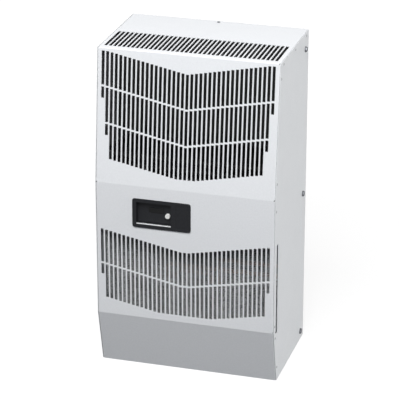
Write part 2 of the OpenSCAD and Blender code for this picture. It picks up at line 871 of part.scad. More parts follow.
// The condenser lies flat: its tube rows run front to back
module condenser_place() {
  translate([0, fan_y, cond_z])
    rotate([90, 0, 0])
      children();
}
module evaporator_place() {
  translate([0, evap_y, evap_z])
    rotate([-evap_tilt, 0, 0])
      children();
}
module condenser_fins() {
  color("silver") condenser_place() fin_stack(cond_rows, cond_count, fin_t, fin_pitch, fin_half);
}
module condenser_tubes() {
  color("peru") condenser_place() serpentine(cond_rows);
}
module condenser_end_plates() {
  color("silver")
    condenser_place()
      for (s = [-1, 1])
        translate([s * (coil_half - 2 * sheet_t), 0, 0])
          across(sheet_t)
            difference() {
              union() {
                tube_sheet(cond_count);
                translate([-row_pitch - coil_lift, -fan_corner])
                  square([2 * coil_lift, 2 * fan_corner]);
              }
              tube_holes(cond_rows);
            }
}
module evaporator_fins() {
  color("silver") evaporator_place() fin_stack(evap_rows, evap_count, fin_t, fin_pitch, fin_half);
}
module evaporator_tubes() {
  color("peru") evaporator_place() serpentine(evap_rows);
}
module evaporator_end_plates() {
  color("silver")
    for (s = [-1, 1])
      translate([s * (coil_half - 2 * sheet_t), 0, 0])
        across(sheet_t)
          difference() {
            union() {
              translate([evap_y, evap_z]) rotate(-evap_tilt) tube_sheet(evap_count);
              translate([evap_in[0], pan_z + pan_wall + lay])
                square([evap_out[0] - evap_in[0], evap_in[1] - pan_z - pan_wall]);
            }
            translate([evap_y, evap_z]) rotate(-evap_tilt) tube_holes(evap_rows);
          }
}

// Compressor and what stands on the base pan
comp_r = comp_d / 2;
comp_x = -85;
comp_y = -30;
comp_top = 172;
comp_round = 14;
comp_seam_z = 95;
comp_seam_w = 1.5;
comp_seam_h = 6;
foot_z = 20;
foot_t = 3;
foot_w = 164;
foot_depth = 104;
foot_dx = 140;
foot_dy = 80;
foot_hole_r = 6;
stud_r = 4;
stud_top = 32;
stud_nut_r = 7.5;
stud_nut_h = 6;
grommet_r = 12;
cap_dx = -20;
cap_w = 46;
cap_depth = 34;
cap_h = 22;
dis_dx = 22;
suc_dx = 32;

module at_feet() {
  for (i = [-1, 1])
    for (j = [-1, 1])
      translate([comp_x + i * foot_dx / 2, comp_y + j * foot_dy / 2, 0])
        children();
}
module compressor_shell() {
  color("black")
    difference() {
      union() {
        translate([comp_x, comp_y, 0]) {
          translate([0, 0, foot_z]) cylinder(r = comp_r, h = comp_top - comp_round - foot_z);
          translate([0, 0, foot_z]) cylinder(r = comp_r - comp_round, h = comp_top - foot_z);
          translate([0, 0, comp_top - comp_round])
            rotate_extrude()
              translate([comp_r - comp_round, 0])
                intersection() {
                  circle(r = comp_round);
                  square([comp_round, comp_round]);
                }
          translate([0, 0, comp_seam_z]) cylinder(r = comp_r + comp_seam_w, h = comp_seam_h);
          translate([-foot_w / 2, -foot_depth / 2, foot_z]) cube([foot_w, foot_depth, foot_t]);
        }
      }
      at_feet() translate([0, 0, foot_z - cut]) cylinder(r = foot_hole_r, h = foot_t + 2 * cut);
    }
}
module compressor_cap() {
  color("#1c1c1c")
    translate([comp_x + cap_dx - cap_w / 2, comp_y - cap_depth / 2, comp_top])
      cube([cap_w, cap_depth, cap_h]);
}
module compressor_grommets() {
  color("#202020")
    at_feet()
      translate([0, 0, sheet_t])
        difference() {
          cylinder(r = grommet_r, h = foot_z - sheet_t);
          translate([0, 0, -cut]) cylinder(r = stud_r + lay, h = foot_z + 2 * cut);
        }
}
module compressor_bolts() {
  color("silver")
    at_feet() {
      translate([0, 0, sheet_t]) cylinder(r = stud_r, h = stud_top - sheet_t);
      translate([0, 0, foot_z + foot_t]) cylinder(r = stud_nut_r, h = stud_nut_h, $fn = 6);
    }
}
acc_x = 32;
acc_y = -14;
acc_r = 24;
acc_z0 = sheet_t;
acc_z1 = 168;
acc_dx = 10;
line_r = 4.75;
line_bend = 6;
drier_r = 10;
drier_z1 = 400;
drier_z0 = 335;
riser_x = 184;
riser_y = 1;
dis_y = -42;
dis_z = 215;
suc_z = 190;
module accumulator() {
  color("#1e1e1e") {
    translate([acc_x, acc_y, acc_z0]) cylinder(r = acc_r, h = acc_z1 - acc_z0);
    translate([acc_x, acc_y, acc_z0]) cylinder(r = acc_r + 2 * sheet_t, h = sheet_t);
  }
}
module filter_drier() {
  color("peru")
    translate([line_x, cond_in[0], drier_z0])
      cylinder(r = drier_r, h = drier_z1 - drier_z0);
}
module liquid_line() {
  color("peru") {
    pipe([[coil_half, cond_in[0], cond_in[1]], [line_x, cond_in[0], cond_in[1]],
      [line_x, cond_in[0], drier_z1]], line_r, line_bend);
    pipe([[line_x, feed_y, feed_z], [line_x, feed_y, evap_in[1]], [line_x, evap_in[0], evap_in[1]],
      [coil_half, evap_in[0], evap_in[1]]], line_r, line_bend);
  }
}
module discharge_line() {
  color("peru")
    pipe([[coil_half, cond_out[0], cond_out[1]], [riser_x, cond_out[0], cond_out[1]],
      [riser_x, riser_y, cond_out[1]], [riser_x, riser_y, dis_z], [riser_x, dis_y, dis_z],
      [comp_x + dis_dx, dis_y, dis_z], [comp_x + dis_dx, dis_y, comp_top]], line_r, line_bend);
}
module suction_line() {
  color("peru") {
    pipe([[coil_half, evap_out[0], evap_out[1]], [line_x, evap_out[0], evap_out[1]],
      [line_x, evap_out[0], line_z], [line_x, acc_y, line_z], [acc_x + acc_dx, acc_y, line_z],
      [acc_x + acc_dx, acc_y, acc_z1]], line_r, line_bend);
    pipe([[acc_x - acc_dx, acc_y, acc_z1], [acc_x - acc_dx, acc_y, suc_z], [comp_x + suc_dx, acc_y, suc_z],
      [comp_x + suc_dx, acc_y, comp_top]], line_r, line_bend);
  }
}

// Capillary tube: one unbroken tube from the drier, round five loops, to the evaporator feed
cap_loops = 5;
cap_loop_r = 12;
cap_pitch = 5;
cap_turn = 4;
cap_steps = 24;
cap_sides = 6;
cap_z1 = drier_z0 - 3 * cap_turn;
cap_z2 = cap_z1 - cap_turn - cap_loops * cap_pitch;
feed_y = cond_in[0] + 2 * cap_turn;
feed_z = cap_z2 - cap_turn - 3 * cap_turn;
cap_path = concat(
  [[line_x, cond_in[0], drier_z0]],
  [for (k = [0 : 4]) let (a = 90 * k / 4)
    [line_x, cond_in[0] + cap_turn * (1 - cos(a)), cap_z1 - cap_turn * sin(a)]],
  [for (k = [1 : cap_steps * cap_loops - 1]) let (a = 360 * k / cap_steps)
    [line_x - cap_loop_r * (1 - cos(a)), cond_in[0] + cap_turn + cap_loop_r * sin(a),
      cap_z1 - cap_turn - cap_pitch * k / cap_steps]],
  [for (k = [0 : 4]) let (a = 90 * k / 4)
    [line_x, feed_y - cap_turn * (1 - sin(a)), cap_z2 - cap_turn * (1 - cos(a))]],
  [[line_x, feed_y, feed_z]]);
function path_dir(p, i) = unit(p[min(i + 1, len(p) - 1)] - p[max(i - 1, 0)]);
// Each ring's first direction follows the one before it, so the tube never twists
function carried(d, a) = unit(a - d * (a * d));
function sides_of(p, i, a) = i == len(p) ? [] :
  let (v = carried(path_dir(p, i), a)) concat([v], sides_of(p, i + 1, v));
module swept_tube(p, r, n) {
  first = cross(path_dir(p, 0), [1, 0, 0]);
  ups = sides_of(p, 0, first);
  pts = [for (i = [0 : len(p) - 1]) let (d = path_dir(p, i), a = ups[i], b = cross(d, a))
    for (k = [0 : n - 1]) p[i] + r * (a * cos(360 * k / n) + b * sin(360 * k / n))];
  last = len(p) - 1;
  faces = concat(
    [[for (k = [0 : n - 1]) k]],
    [for (i = [0 : last - 1]) for (k = [0 : n - 1]) let (m = (k + 1) % n)
      each [[i * n + k, (i + 1) * n + k, i * n + m], [i * n + m, (i + 1) * n + k, (i + 1) * n + m]]],
    [[for (k = [n - 1 : -1 : 0]) last * n + k]]);
  polyhedron(pts, faces);
}
// Least distance of the tube from itself, measured a half loop or more apart
cap_gap = min([for (i = [0 : len(cap_path) - 1]) for (j = [i + cap_steps / 2 : 1 : len(cap_path) - 1])
  norm(cap_path[i] - cap_path[j])]) - 2 * cap_r;
module capillary_tube() {
  echo(capillary_gap = cap_gap);
  color("peru") swept_tube(cap_path, cap_r, cap_sides);
}
module line_grommets() {
  color("#202020")
    for (g = [[line_x, line_z, line_r], [line_x, evap_in[1], line_r], [bulb_line_x, bezel_z, cap_r]])
      translate([g[0], y_div - grommet_lip, g[1]])
        difference() {
          union() {
            backward(grommet_lip) circle(r = line_hole_r + grommet_lip);
            backward(grommet_lip + sheet_t) circle(r = line_hole_r - rivet_play);
          }
          translate([0, -cut, 0]) backward(grommet_lip + sheet_t + 2 * cut) circle(r = g[2] + rivet_play);
        }
}
grommet_lip = 2;

// Condensate pan and drain
pan_z = shelf_z + sheet_t;
pan_wall = 2;
pan_y0 = y_div + 2 * sheet_t;
pan_depth = 64;
pan_h = 18;
nozzle_len = 12;
drain_wall = 2;
drain_gap = 0.3;
fitting_h = 20;
fitting_flange = 12;
module condensate_pan() {
  color("#d8d8d8")
    difference() {
      union() {
        translate([-pan_w / 2, pan_y0, pan_z]) cube([pan_w, pan_depth, pan_h]);
        translate([drain_x, drain_y, pan_z - nozzle_len])
          cylinder(r = drain_bore_r + drain_wall, h = nozzle_len + pan_wall);
      }
      translate([-pan_w / 2 + pan_wall, pan_y0 + pan_wall, pan_z + pan_wall])
        cube([pan_w - 2 * pan_wall, pan_depth - 2 * pan_wall, pan_h]);
      translate([drain_x, drain_y, pan_z - nozzle_len - cut])
        cylinder(r = drain_bore_r, h = nozzle_len + pan_wall + 2 * cut);
    }
}
module drain_hose() {
  r = drain_bore_r + drain_wall + drain_gap;
  color("#303030")
    translate([drain_x, drain_y, fitting_h / 2])
      difference() {
        cylinder(r = r + drain_wall, h = pan_z - fitting_h / 2 - drain_gap);
        translate([0, 0, -cut]) cylinder(r = r, h = pan_z);
      }
}
module drain_fitting() {
  color("#404040")
    translate([drain_x, drain_y, 0])
      difference() {
        union() {
          cylinder(r = drain_bore_r + drain_wall, h = fitting_h);
          translate([0, 0, sheet_t]) cylinder(r = fitting_flange, h = drain_wall);
        }
        translate([0, 0, -cut]) cylinder(r = drain_bore_r, h = fitting_h + 2 * cut);
      }
}

// Blower on the divider, drawing through the inlet ring
base_plate_w = 130;
stator_flange_r = 46;
stator_flange_t = 3;
stator_r = 17;
winding_r = 37;
shaft_r = 5;
cup_r = 44;
cup_wall = 3;
stator_end = 48;
wheel_blades = 7;
wheel_blade_t = 2;
wheel_depth = 46;
eye_r = 67;
blade_curve_r = 75;
blade_in_r = 68;
throat_r = 64;
ring_flange_r = 90;
throat_in = 25;
module blower_place() {
  translate([0, y_div + sheet_t, blow_z])
    rotate([-90, 0, 0])
      children();
}
module blower_bracket() {
  color("silver")
    blower_place()
      translate([-base_plate_w / 2, -base_plate_w / 2, 0])
        cube([base_plate_w, base_plate_w, 2 * sheet_t]);
}
module blower_stator() {
  z0 = 2 * sheet_t;
  color("#505050")
    blower_place()
      difference() {
        union() {
          translate([0, 0, z0]) cylinder(r = stator_flange_r, h = stator_flange_t);
          translate([0, 0, z0]) cylinder(r = stator_r, h = stator_end);
          translate([0, 0, z0 + 4 * stator_flange_t])
            cylinder(r = winding_r, h = stator_end - 6 * stator_flange_t);
        }
        translate([0, 0, z0 + stator_flange_t]) cylinder(r = shaft_r + shaft_gap, h = stator_end);
      }
}
module blower_wheel() {
  z0 = 2 * sheet_t + stator_end + lay;
  z_cup = 2 * sheet_t + 3 * stator_flange_t;
  color("#2a2a2a")
    blower_place() {
      translate([0, 0, z_cup])
        difference() {
          cylinder(r = cup_r, h = z0 + cup_wall - z_cup);
          translate([0, 0, -cut]) cylinder(r = cup_r - cup_wall, h = z0 - z_cup + cut);
        }
      translate([0, 0, z_cup]) cylinder(r = shaft_r, h = z0 + cup_wall - z_cup);
      translate([0, 0, z0]) cylinder(r = wheel_r, h = cup_wall);
      translate([0, 0, z0 + wheel_depth])
        difference() {
          cylinder(r = wheel_r, h = wheel_blade_t);
          translate([0, 0, -cut]) cylinder(r = eye_r, h = wheel_blade_t + 2 * cut);
        }
      for (k = [0 : wheel_blades - 1])
        rotate([0, 0, k * 360 / wheel_blades])
          translate([0, 0, z0 + cup_wall])
            linear_extrude(wheel_depth - cup_wall)
              intersection() {
                difference() {
                  circle(r = wheel_r - wheel_blade_t);
                  circle(r = blade_in_r);
                }
                translate([blade_curve_r - blade_in_r / 2, 0])
                  difference() {
                    circle(r = blade_curve_r);
                    circle(r = blade_curve_r - wheel_blade_t);
                  }
                translate([-wheel_r, 0]) square([2 * wheel_r, wheel_r]);
              }
    }
}
module inlet_ring() {
  color("silver")
    translate([0, 0, blow_z]) {
      translate([0, y_plate_in - sheet_t, 0])
        backward(sheet_t)
          difference() {
            circle(r = ring_flange_r);
            circle(r = throat_r - sheet_t);
          }
      translate([0, y_plate_in - throat_in, 0])
        backward(throat_in)
          difference() {
            circle(r = throat_r);
            circle(r = throat_r - sheet_t);
          }
    }
}
guard_wire = 1.2;
guard_spoke = 0.9;
guard_gap = 0.12;
guard_rings = 6;
guard_r = inlet_r + 4;
guard_hub = 10;
module inlet_guard() {
  color("#202020")
    translate([0, y_plate + guard_wire + guard_gap, blow_z])
      rotate([90, 0, 0]) {
        for (i = [0 : guard_rings])
          rotate_extrude()
            translate([guard_hub + i * (guard_r - guard_hub) / guard_rings, 0])
              circle(r = guard_wire, $fn = 16);
        for (a = [45 : 90 : 315])
          rotate([0, 0, a])
            rod([guard_hub, 0, 0], [1, 0, 0], guard_spoke, guard_r - guard_hub, $fn = 16);
      }
}

// Electrical box
box_x0 = 62;
box_x1 = 186;
box_y0 = -62;
box_h = 168;
box_t = 1.2;
cover_lip = 6;
cont_w = 45;
cont_d = 60;
cont_h = 75;
cont_x = 72;
cont_z = 60;
cap_can_r = 22;
cap_can_h = 90;
cap_can_x = 110;
cap_can_y = -36;
term_w = 40;
term_d = 20;
term_h = 24;
term_x = 138;
term_z = 40;
wire_r = 3;
wire_bend = 6;
wire_y = 2;
wire_x = [110, 100, 90, 80];
box_top = sheet_t + box_h;
module electrical_box() {
  color("silver")
    difference() {
      translate([box_x0, box_y0, sheet_t]) cube([box_x1 - box_x0, y_duct - box_y0, box_h]);
      translate([box_x0 + box_t, box_y0 - cut, sheet_t + box_t])
        cube([box_x1 - box_x0 - 2 * box_t, y_duct - box_y0 - box_t + cut, box_h - 2 * box_t]);
      translate([conduit_x, y_duct - 2 * box_t, conduit_z])
        backward(4 * box_t)
          circle(r = conduit_r + lay);
    }
}
module electrical_cover() {
  color("silver")
    difference() {
      translate([box_x0 - box_t - lay, box_y0 - box_t, sheet_t + lay])
        cube([box_x1 - box_x0 + 2 * (box_t + lay), box_t + cover_lip, box_h]);
      translate([box_x0 - lay, box_y0, -cut])
        cube([box_x1 - box_x0 + 2 * lay, 2 * cover_lip, 2 * box_h]);
    }
}
module contactor() {
  color("#2f2f2f")
    translate([cont_x, y_duct - box_t - cont_d, cont_z])
      cube([cont_w, cont_d, cont_h]);
}
module run_capacitor() {
  color("silver")
    translate([cap_can_x, cap_can_y, sheet_t + box_t])
      cylinder(r = cap_can_r, h = cap_can_h);
}
module terminal_block() {
  color("#e0e0d8")
    difference() {
      translate([term_x, y_duct - box_t - term_d, term_z]) cube([term_w, term_d, term_h]);
      for (i = [0 : 3])
        translate([term_x + (i + 1 / 2) * term_w / 4, y_duct - box_t - term_d - cut, term_z + term_h / 2])
          backward(term_d / 2)
            circle(r = term_w / 16);
    }
}
wire_back_x = 130;
wire_mid_y = -26;
module wire_harness() {
  y_low = fan_y + fan_corner - wire_bend / 2;
  z_wire = z_fan - lay;
  run_z = (dis_z + z_fan) / 2;
  color("#181818") {
    pipe([[wire_x[0], wire_y, box_top], [wire_x[0], wire_y, z_wire - 2 * wire_bend],
      [wire_x[0], y_low, z_wire - 2 * wire_bend], [wire_x[0], y_low, z_wire]], wire_r, wire_bend);
    pipe([[wire_x[1], wire_mid_y, box_top], [wire_x[1], wire_mid_y, run_z],
      [-wire_back_x, wire_mid_y, run_z], [-wire_back_x, wire_mid_y, z_wire]], wire_r, wire_bend);
    pipe([[wire_x[2], wire_y, box_top], [wire_x[2], wire_y, run_z + 4 * wire_bend],
      [body_x, wire_y, run_z + 4 * wire_bend], [body_x, wire_y, bezel_z], [body_x, y_body_in, bezel_z]],
      wire_r, wire_bend);
    pipe([[wire_x[3], wire_y, box_top], [wire_x[3], wire_y, run_z - 8 * wire_bend],
      [comp_x + cap_dx, wire_y, run_z - 8 * wire_bend], [comp_x + cap_dx, comp_y, run_z - 8 * wire_bend],
      [comp_x + cap_dx, comp_y, comp_top + cap_h]], wire_r, wire_bend);
  }
}

front_cover();
left_side_panel();
right_side_panel();
panel_rivets();
cover_screws();
chassis_back();
base_pan();
divider_panel();
plenum_liner();
mounting_gasket();
weld_nuts();
upper_filter_rail();
lower_filter_rail();
filter_frame();
filter_mesh();
control_bezel();
display_window();
trim_bar();
thermostat_body();
thermostat_knob();
sensor_bulb();
fan_deck();
left_fan_frame();
right_fan_frame();
left_fan_rotor();
right_fan_rotor();
fan_screws();
condenser_fins();
condenser_tubes();
condenser_end_plates();
compressor_shell();
compressor_cap();
compressor_grommets();
compressor_bolts();
accumulator();
filter_drier();
capillary_tube();
discharge_line();
liquid_line();
suction_line();
line_grommets();
evaporator_fins();
evaporator_tubes();
evaporator_end_plates();
condensate_pan();
drain_hose();
drain_fitting();
blower_bracket();
blower_stator();
blower_wheel();
inlet_ring();
inlet_guard();
electrical_box();
electrical_cover();
contactor();
run_capacitor();
terminal_block();
cable_conduit();
wire_harness();
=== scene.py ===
# Enclosure cooling unit: finishes, filter mesh, fasteners and soft pieces round the fixed frame.
import json
import math

import bmesh
import bpy
from mathutils import Matrix, Vector, noise


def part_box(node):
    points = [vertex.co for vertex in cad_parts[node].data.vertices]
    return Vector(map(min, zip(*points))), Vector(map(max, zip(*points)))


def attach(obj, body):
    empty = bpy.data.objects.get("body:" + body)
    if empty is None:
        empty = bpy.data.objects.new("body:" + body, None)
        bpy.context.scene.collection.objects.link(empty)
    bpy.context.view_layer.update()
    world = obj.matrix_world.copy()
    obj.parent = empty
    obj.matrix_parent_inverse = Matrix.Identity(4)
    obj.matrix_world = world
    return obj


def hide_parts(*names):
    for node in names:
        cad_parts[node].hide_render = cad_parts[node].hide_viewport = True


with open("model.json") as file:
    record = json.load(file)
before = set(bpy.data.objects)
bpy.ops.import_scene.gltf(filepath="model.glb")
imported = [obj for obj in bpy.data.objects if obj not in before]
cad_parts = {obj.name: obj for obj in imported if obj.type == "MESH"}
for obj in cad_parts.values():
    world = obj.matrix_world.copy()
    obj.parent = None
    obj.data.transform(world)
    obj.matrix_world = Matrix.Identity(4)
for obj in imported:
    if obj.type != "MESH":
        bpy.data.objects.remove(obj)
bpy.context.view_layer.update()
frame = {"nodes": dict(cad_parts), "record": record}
nodes = frame["nodes"]
mm = 0.001
joinNear = 0.001 * mm  # points closer than this become one
print("frame loaded:", len(nodes), "nodes")

# Sizes of the cabinet that new pieces need, in millimetres, as the frame has them
cabinet = {
    "insideX": 193.0,  # inner face of a side panel
    "sheet": 1.5,
    "backY": 133.5,
    "frontY": -131.5,
    "setY": -102.5,  # top front edge and foot of the skirt
    "height": 711.0,
    "creaseHigh": 424.0,
    "creaseLow": 124.0,
}

# What the finishes share
texture = {
    "noiseLow": 0.3,  # the middle part of a noise, which is spread over the whole range
    "noiseHigh": 0.7,
    "colourDetail": 3.0,
    "sheenDetail": 2.0,
    "grainDetail": 1.0,
    "bevelSamples": 4,
    "markLength": 40,  # how many times longer than wide a drawing mark is
    "paintedShadeShare": 0.2,  # share of a side panel's thickness that has the painted inner shade
    # what is added to the roughness at least and at most, and the size of its patches in millimetres
    "grainedSheen": (-0.05, 0.05, 30),
    "drawnSheen": (-0.06, 0.08, 6),
    "spangledSheen": (-0.08, 0.1),
}


# An sRGB hex colour as the linear one that a node takes
def linear(hexColour):
    channels = [int(hexColour[i:i + 2], 16) / 255 for i in (1, 3, 5)]
    return [c / 12.92 if c <= 0.04045 else ((c + 0.055) / 1.055) ** 2.4 for c in channels] + [1.0]


def addNode(tree, kind, settings=None, links=None):
    node = tree.nodes.new(kind)
    for key, value in (settings or {}).items():
        if isinstance(key, int) or key[0].isupper():  # a socket
            node.inputs[key].default_value = value
        else:  # the node's own setting
            setattr(node, key, value)
    for key, source in (links or {}).items():
        tree.links.new(source, node.inputs[key])
    return node


def emptyTree(owner):
    owner.use_nodes = True
    owner.node_tree.nodes.clear()
    return owner.node_tree


def addObject(name, data):
    thing = bpy.data.objects.new(name, data)
    bpy.context.scene.collection.objects.link(thing)
    return thing


def startMaterial(name, settings):
    material = bpy.data.materials.new(name)
    tree = emptyTree(material)
    shader = addNode(tree, "ShaderNodeBsdfPrincipled", {
        "Base Color": linear(settings["colour"]),
        "Roughness": settings["roughness"],
        "Metallic": settings.get("metallic", 0.0),
        "Specular IOR Level": settings.get("specular", 0.5),
    })
    addNode(tree, "ShaderNodeOutputMaterial", links={"Surface": shader.outputs[0]})
    place = addNode(tree, "ShaderNodeTexCoord").outputs["Object"]
    return material, tree, shader, place


# Soft noise over patches of patchMm, its middle part spread from low to high
def softNoise(tree, place, patchMm, detail, low=0.0, high=1.0):
    cloud = addNode(tree, "ShaderNodeTexNoise", {"Scale": 1 / (patchMm * mm), "Detail": detail},
                    {"Vector": place})
    return addNode(tree, "ShaderNodeMapRange", {
        "From Min": texture["noiseLow"], "From Max": texture["noiseHigh"], "To Min": low, "To Max": high},
        {"Value": cloud.outputs["Fac"]}).outputs[0]


# The finish's two colours mixed by a share; a mix node takes colours in sockets 6 and 7 and gives output 2
def twoColours(tree, shader, share, settings):
    pair = {6: linear(settings["colour"]), 7: linear(settings["second"])}
    colour = addNode(tree, "ShaderNodeMix", {"data_type": "RGBA", **pair}, {0: share}).outputs[2]
    tree.links.new(colour, shader.inputs["Base Color"])
    return colour


# The two colours in soft patches
def mottle(tree, shader, place, settings):
    patches = softNoise(tree, place, settings["patchMm"], texture["colourDetail"])
    return twoColours(tree, shader, patches, settings)


# A surface depthMm deep that follows a height, over edges rounded by edgeMm
def relief(tree, shader, height, settings):
    bump = addNode(tree, "ShaderNodeBump", {"Distance": settings["depthMm"] * mm}, {"Height": height})
    if settings.get("edgeMm"):
        edge = addNode(tree, "ShaderNodeBevel", {
            "samples": texture["bevelSamples"], "Radius": settings["edgeMm"] * mm})
        tree.links.new(edge.outputs[0], bump.inputs["Normal"])
    tree.links.new(bump.outputs[0], shader.inputs["Normal"])


# Raised grain, grainMm across
def grain(tree, shader, place, settings):
    bumps = addNode(tree, "ShaderNodeTexNoise", {
        "Scale": 1 / (settings["grainMm"] * mm), "Detail": texture["grainDetail"]}, {"Vector": place})
    relief(tree, shader, bumps.outputs["Fac"], settings)


# Roughness that wanders over soft patches
def unevenSheen(tree, shader, place, settings, sheen):
    least, most, patchMm = sheen
    patches = softNoise(tree, place, patchMm, texture["sheenDetail"],
                        settings["roughness"] + least, settings["roughness"] + most)
    tree.links.new(patches, shader.inputs["Roughness"])


# Coordinates drawn out along one axis, for rolling and drawing marks
def drawnOut(tree, place, axis):
    scale = [1.0, 1.0, 1.0]
    scale[axis] = 1 / texture["markLength"]
    return addNode(tree, "ShaderNodeMapping", {"Scale": scale}, {"Vector": place}).outputs[0]


# Painted shade: a darker grey on the inner faces of the side panels, for the shadow inside the cabinet
def paintedShadeInside(tree, shader, place, paint, inside):
    line = (cabinet["insideX"] + texture["paintedShadeShare"] * cabinet["sheet"]) * mm
    apart = addNode(tree, "ShaderNodeSeparateXYZ", links={0: place})
    reach = addNode(tree, "ShaderNodeMath", {"operation": "ABSOLUTE"}, {0: apart.outputs["X"]})
    outer = addNode(tree, "ShaderNodeMath", {"operation": "GREATER_THAN", 1: line}, {0: reach.outputs[0]})
    mix = addNode(tree, "ShaderNodeMix", {"data_type": "RGBA", 6: linear(inside)},
                  {0: outer.outputs[0], 7: paint})
    tree.links.new(mix.outputs[2], shader.inputs["Base Color"])


# Paint, plastic, rubber and plated or cast metal: mottled, grained, of uneven gloss
def grainedFinish(name, settings):
    material, tree, shader, place = startMaterial(name, settings)
    paint = mottle(tree, shader, place, settings)
    # painted shade on the inner faces of the side panels
    if settings.get("inside"):
        paintedShadeInside(tree, shader, place, paint, settings["inside"])
    grain(tree, shader, place, settings)
    unevenSheen(tree, shader, place, settings, texture["grainedSheen"])
    return material


# Zinc crystals: each cell has its own shade and gloss
def spangledFinish(name, settings):
    material, tree, shader, place = startMaterial(name, settings)
    crystals = addNode(tree, "ShaderNodeTexVoronoi", {"Scale": 1 / (settings["patchMm"] * mm)},
                       {"Vector": place})
    shade = addNode(tree, "ShaderNodeSeparateColor", links={0: crystals.outputs["Color"]})
    twoColours(tree, shader, shade.outputs[0], settings)
    least, most = texture["spangledSheen"]
    gloss = addNode(tree, "ShaderNodeMapRange", {
        "To Min": settings["roughness"] + least, "To Max": settings["roughness"] + most},
        {"Value": shade.outputs[1]})
    tree.links.new(gloss.outputs[0], shader.inputs["Roughness"])
    grain(tree, shader, place, settings)
    return material


# Rolled or drawn metal with marks along one axis
def drawnFinish(name, settings):
    material, tree, shader, place = startMaterial(name, settings)
    along = drawnOut(tree, place, settings["axis"])
    mottle(tree, shader, along, settings)
    grain(tree, shader, along, settings)
    unevenSheen(tree, shader, along, settings, texture["drawnSheen"])
    return material


# Foam with open or skinned pores, or a braid
def foamFinish(name, settings):
    material, tree, shader, place = startMaterial(name, settings)
    mottle(tree, shader, place, settings)
    pores = addNode(tree, "ShaderNodeTexVoronoi", {"Scale": 1 / (settings["grainMm"] * mm)},
                    {"Vector": place})
    relief(tree, shader, pores.outputs["Distance"], settings)
    return material


